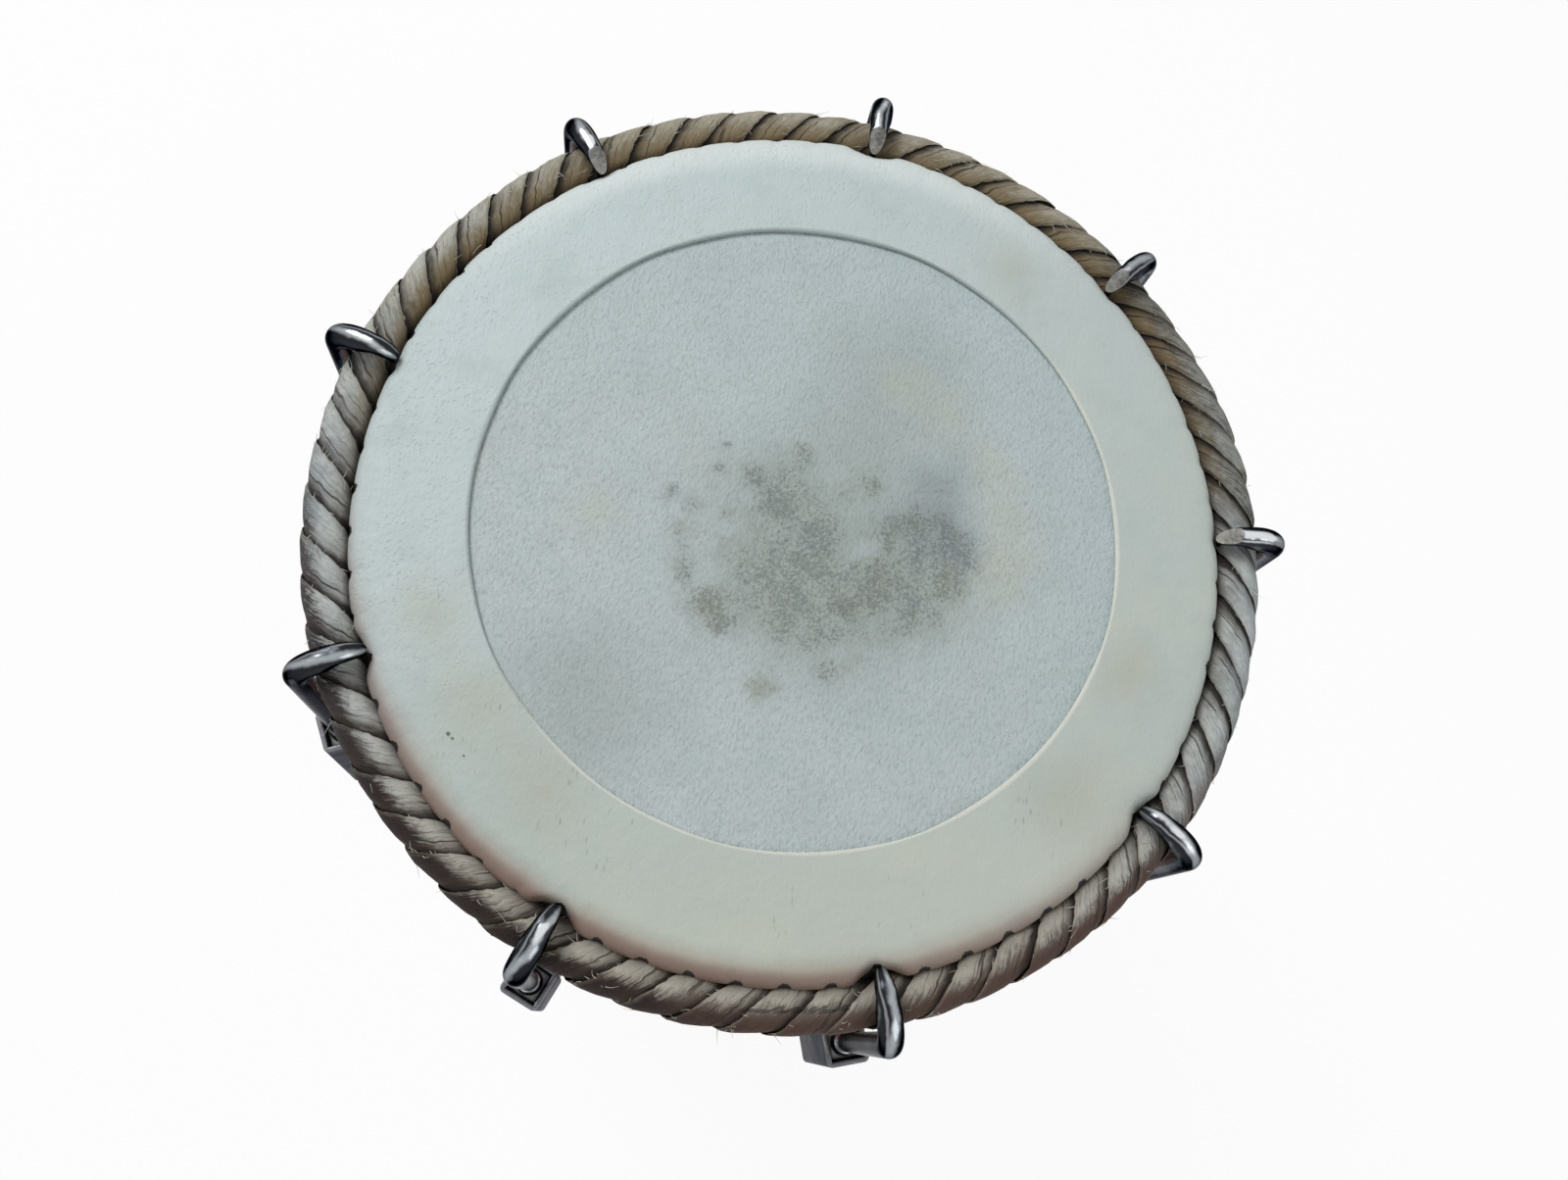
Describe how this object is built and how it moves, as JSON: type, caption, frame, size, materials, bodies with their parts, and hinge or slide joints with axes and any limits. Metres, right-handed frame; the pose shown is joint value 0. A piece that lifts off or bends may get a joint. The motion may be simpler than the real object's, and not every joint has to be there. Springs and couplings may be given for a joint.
{
  "type": "dholak",
  "caption": "Upright two-headed wooden barrel drum with wound rawhide rims, chromed hook rods and square turnbuckles that tension both skins.",
  "frame": {"origin": "on the drum's axis, level with the lowest bends of the treble hooks, on which it stands", "axes": "+Z along the drum's axis from the treble head up to the bass head; +X is 5 degrees short of rod 1"},
  "size_m": [0.2791, 0.2791, 0.4404],
  "materials": {
    "barrel_wood": "lacquered reddish brown hardwood",
    "playing_skin": "greyish white scraped goatskin, satin",
    "collar_skin": "pale cream hide, half gloss",
    "tuning_paste": "dull dark tar and clay paste",
    "hoop_iron": "dull black iron",
    "rawhide": "tan twisted rawhide with chalky wear",
    "chrome_rod": "bright chrome plate, lightly scratched",
    "sleeve_steel": "dark plated square tube",
    "zinc_nut": "dull zinc plate"
  },
  "bodies": {
    "drum": {"barrel_shell": "barrel_wood", "bass_skin": "playing_skin", "bass_collar_skin": "collar_skin", "bass_tuning_paste": "tuning_paste", "bass_hoop": "hoop_iron", "bass_braid": "rawhide", "treble_skin": "playing_skin", "treble_hoop": "hoop_iron", "treble_braid": "rawhide"},
    "turnbuckle_1": {"turnbuckle_1": "sleeve_steel", "bass_nut_1": "zinc_nut", "treble_nut_1": "zinc_nut"},
    "bass_hook_1": {"bass_hook_1": "chrome_rod"},
    "treble_hook_1": {"treble_hook_1": "chrome_rod"},
    "turnbuckle_2": {"turnbuckle_2": "sleeve_steel", "bass_nut_2": "zinc_nut", "treble_nut_2": "zinc_nut"},
    "bass_hook_2": {"bass_hook_2": "chrome_rod"},
    "treble_hook_2": {"treble_hook_2": "chrome_rod"},
    "turnbuckle_3": {"turnbuckle_3": "sleeve_steel", "bass_nut_3": "zinc_nut", "treble_nut_3": "zinc_nut"},
    "bass_hook_3": {"bass_hook_3": "chrome_rod"},
    "treble_hook_3": {"treble_hook_3": "chrome_rod"},
    "turnbuckle_4": {"turnbuckle_4": "sleeve_steel", "bass_nut_4": "zinc_nut", "treble_nut_4": "zinc_nut"},
    "bass_hook_4": {"bass_hook_4": "chrome_rod"},
    "treble_hook_4": {"treble_hook_4": "chrome_rod"},
    "turnbuckle_5": {"turnbuckle_5": "sleeve_steel", "bass_nut_5": "zinc_nut", "treble_nut_5": "zinc_nut"},
    "bass_hook_5": {"bass_hook_5": "chrome_rod"},
    "treble_hook_5": {"treble_hook_5": "chrome_rod"},
    "turnbuckle_6": {"turnbuckle_6": "sleeve_steel", "bass_nut_6": "zinc_nut", "treble_nut_6": "zinc_nut"},
    "bass_hook_6": {"bass_hook_6": "chrome_rod"},
    "treble_hook_6": {"treble_hook_6": "chrome_rod"},
    "turnbuckle_7": {"turnbuckle_7": "sleeve_steel", "bass_nut_7": "zinc_nut", "treble_nut_7": "zinc_nut"},
    "bass_hook_7": {"bass_hook_7": "chrome_rod"},
    "treble_hook_7": {"treble_hook_7": "chrome_rod"},
    "turnbuckle_8": {"turnbuckle_8": "sleeve_steel", "bass_nut_8": "zinc_nut", "treble_nut_8": "zinc_nut"},
    "bass_hook_8": {"bass_hook_8": "chrome_rod"},
    "treble_hook_8": {"treble_hook_8": "chrome_rod"},
    "turnbuckle_9": {"turnbuckle_9": "sleeve_steel", "bass_nut_9": "zinc_nut", "treble_nut_9": "zinc_nut"},
    "bass_hook_9": {"bass_hook_9": "chrome_rod"},
    "treble_hook_9": {"treble_hook_9": "chrome_rod"}
  },
  "joints": [
    {"name": "turnbuckle_1_turn", "type": "hinge", "parent": "drum", "child": "turnbuckle_1", "pos_m": [0.13209, 0.01156, 0.33333], "axis": [0.0944, 0.0083, -0.9955], "range_deg": [0, 1800]},
    {"name": "bass_hook_1_slide", "type": "slide", "parent": "drum", "child": "bass_hook_1", "axis": [-0.0944, -0.0083, 0.9955], "range_m": [0, 0.005]},
    {"name": "treble_hook_1_slide", "type": "slide", "parent": "drum", "child": "treble_hook_1", "axis": [0.0944, 0.0083, -0.9955], "range_m": [0, 0.005]},
    {"name": "turnbuckle_2_turn", "type": "hinge", "parent": "drum", "child": "turnbuckle_2", "pos_m": [0.09376, 0.09376, 0.33333], "axis": [0.067, 0.067, -0.9955], "range_deg": [0, 1800]},
    {"name": "bass_hook_2_slide", "type": "slide", "parent": "drum", "child": "bass_hook_2", "axis": [-0.067, -0.067, 0.9955], "range_m": [0, 0.005]},
    {"name": "treble_hook_2_slide", "type": "slide", "parent": "drum", "child": "treble_hook_2", "axis": [0.067, 0.067, -0.9955], "range_m": [0, 0.005]},
    {"name": "turnbuckle_3_turn", "type": "hinge", "parent": "drum", "child": "turnbuckle_3", "pos_m": [0.01156, 0.13209, 0.33333], "axis": [0.0083, 0.0944, -0.9955], "range_deg": [0, 1800]},
    {"name": "bass_hook_3_slide", "type": "slide", "parent": "drum", "child": "bass_hook_3", "axis": [-0.0083, -0.0944, 0.9955], "range_m": [0, 0.005]},
    {"name": "treble_hook_3_slide", "type": "slide", "parent": "drum", "child": "treble_hook_3", "axis": [0.0083, 0.0944, -0.9955], "range_m": [0, 0.005]},
    {"name": "turnbuckle_4_turn", "type": "hinge", "parent": "drum", "child": "turnbuckle_4", "pos_m": [-0.07605, 0.10862, 0.33333], "axis": [-0.0544, 0.0776, -0.9955], "range_deg": [0, 1800]},
    {"name": "bass_hook_4_slide", "type": "slide", "parent": "drum", "child": "bass_hook_4", "axis": [0.0544, -0.0776, 0.9955], "range_m": [0, 0.005]},
    {"name": "treble_hook_4_slide", "type": "slide", "parent": "drum", "child": "treble_hook_4", "axis": [-0.0544, 0.0776, -0.9955], "range_m": [0, 0.005]},
    {"name": "turnbuckle_5_turn", "type": "hinge", "parent": "drum", "child": "turnbuckle_5", "pos_m": [-0.12808, 0.03432, 0.33333], "axis": [-0.0916, 0.0245, -0.9955], "range_deg": [0, 1800]},
    {"name": "bass_hook_5_slide", "type": "slide", "parent": "drum", "child": "bass_hook_5", "axis": [0.0916, -0.0245, 0.9955], "range_m": [0, 0.005]},
    {"name": "treble_hook_5_slide", "type": "slide", "parent": "drum", "child": "treble_hook_5", "axis": [-0.0916, 0.0245, -0.9955], "range_m": [0, 0.005]},
    {"name": "turnbuckle_6_turn", "type": "hinge", "parent": "drum", "child": "turnbuckle_6", "pos_m": [-0.12017, -0.05604, 0.33333], "axis": [-0.0859, -0.0401, -0.9955], "range_deg": [0, 1800]},
    {"name": "bass_hook_6_slide", "type": "slide", "parent": "drum", "child": "bass_hook_6", "axis": [0.0859, 0.0401, 0.9955], "range_m": [0, 0.005]},
    {"name": "treble_hook_6_slide", "type": "slide", "parent": "drum", "child": "treble_hook_6", "axis": [-0.0859, -0.0401, -0.9955], "range_m": [0, 0.005]},
    {"name": "turnbuckle_7_turn", "type": "hinge", "parent": "drum", "child": "turnbuckle_7", "pos_m": [-0.05604, -0.12017, 0.33333], "axis": [-0.0401, -0.0859, -0.9955], "range_deg": [0, 1800]},
    {"name": "bass_hook_7_slide", "type": "slide", "parent": "drum", "child": "bass_hook_7", "axis": [0.0401, 0.0859, 0.9955], "range_m": [0, 0.005]},
    {"name": "treble_hook_7_slide", "type": "slide", "parent": "drum", "child": "treble_hook_7", "axis": [-0.0401, -0.0859, -0.9955], "range_m": [0, 0.005]},
    {"name": "turnbuckle_8_turn", "type": "hinge", "parent": "drum", "child": "turnbuckle_8", "pos_m": [0.03432, -0.12808, 0.33333], "axis": [0.0245, -0.0916, -0.9955], "range_deg": [0, 1800]},
    {"name": "bass_hook_8_slide", "type": "slide", "parent": "drum", "child": "bass_hook_8", "axis": [-0.0245, 0.0916, 0.9955], "range_m": [0, 0.005]},
    {"name": "treble_hook_8_slide", "type": "slide", "parent": "drum", "child": "treble_hook_8", "axis": [0.0245, -0.0916, -0.9955], "range_m": [0, 0.005]},
    {"name": "turnbuckle_9_turn", "type": "hinge", "parent": "drum", "child": "turnbuckle_9", "pos_m": [0.10862, -0.07605, 0.33333], "axis": [0.0776, -0.0544, -0.9955], "range_deg": [0, 1800]},
    {"name": "bass_hook_9_slide", "type": "slide", "parent": "drum", "child": "bass_hook_9", "axis": [-0.0776, 0.0544, 0.9955], "range_m": [0, 0.005]},
    {"name": "treble_hook_9_slide", "type": "slide", "parent": "drum", "child": "treble_hook_9", "axis": [0.0776, -0.0544, -0.9955], "range_m": [0, 0.005]}
  ],
  "couplings": [
    {"joint": "turnbuckle_1_turn", "follows": "treble_hook_1_slide", "rad_per_m": 6283.2},
    {"joint": "bass_hook_1_slide", "follows": "treble_hook_1_slide", "ratio": 1},
    {"joint": "turnbuckle_2_turn", "follows": "treble_hook_2_slide", "rad_per_m": 6283.2},
    {"joint": "bass_hook_2_slide", "follows": "treble_hook_2_slide", "ratio": 1},
    {"joint": "turnbuckle_3_turn", "follows": "treble_hook_3_slide", "rad_per_m": 6283.2},
    {"joint": "bass_hook_3_slide", "follows": "treble_hook_3_slide", "ratio": 1},
    {"joint": "turnbuckle_4_turn", "follows": "treble_hook_4_slide", "rad_per_m": 6283.2},
    {"joint": "bass_hook_4_slide", "follows": "treble_hook_4_slide", "ratio": 1},
    {"joint": "turnbuckle_5_turn", "follows": "treble_hook_5_slide", "rad_per_m": 6283.2},
    {"joint": "bass_hook_5_slide", "follows": "treble_hook_5_slide", "ratio": 1},
    {"joint": "turnbuckle_6_turn", "follows": "treble_hook_6_slide", "rad_per_m": 6283.2},
    {"joint": "bass_hook_6_slide", "follows": "treble_hook_6_slide", "ratio": 1},
    {"joint": "turnbuckle_7_turn", "follows": "treble_hook_7_slide", "rad_per_m": 6283.2},
    {"joint": "bass_hook_7_slide", "follows": "treble_hook_7_slide", "ratio": 1},
    {"joint": "turnbuckle_8_turn", "follows": "treble_hook_8_slide", "rad_per_m": 6283.2},
    {"joint": "bass_hook_8_slide", "follows": "treble_hook_8_slide", "ratio": 1},
    {"joint": "turnbuckle_9_turn", "follows": "treble_hook_9_slide", "rad_per_m": 6283.2},
    {"joint": "bass_hook_9_slide", "follows": "treble_hook_9_slide", "ratio": 1}
  ]
}
